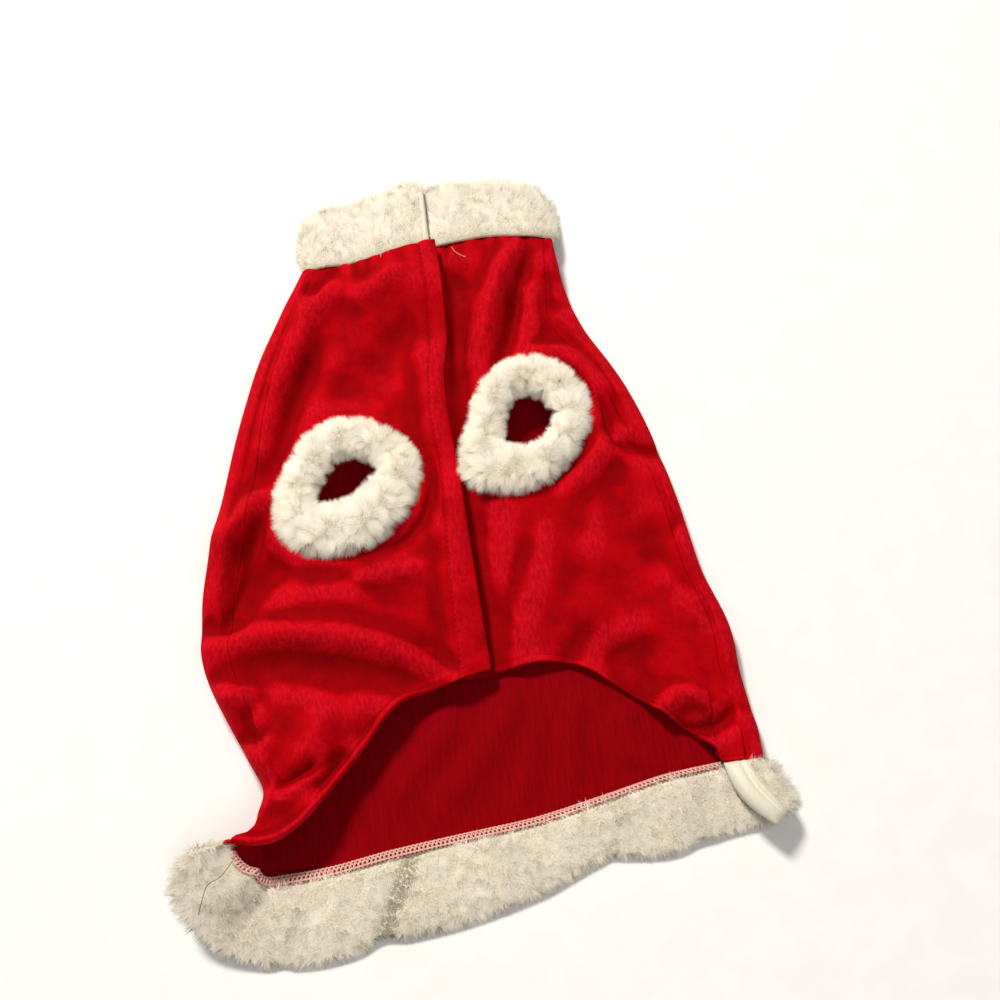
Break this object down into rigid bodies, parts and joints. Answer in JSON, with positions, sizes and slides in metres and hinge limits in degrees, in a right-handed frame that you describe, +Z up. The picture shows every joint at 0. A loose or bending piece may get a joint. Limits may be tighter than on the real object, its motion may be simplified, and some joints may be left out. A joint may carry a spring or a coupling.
{
  "type": "dog coat",
  "caption": "Small dog's festive velour coat with a plush fur collar, leg rings and hem band, laid flat with its front closure up.",
  "frame": {"origin": "on the surface the coat lies on, under the front closure and halfway down the coat", "axes": "+Y along the coat towards the neck, +X across it to the viewer's right, +Z up from the surface"},
  "size_m": [0.2767, 0.3937, 0.0289],
  "materials": {
    "red_velour": "short brushed pile with a soft sheen outside, flat knit inside",
    "white_fur": "dense warm-white plush with short tufts"
  },
  "bodies": {
    "root": {"back_panel": "red_velour", "front_left": "red_velour", "front_right": "red_velour", "closing_edge": "red_velour", "collar": "white_fur", "leg_ring_left": "white_fur", "leg_ring_right": "white_fur", "hem_band": "white_fur"}
  },
  "joints": []
}
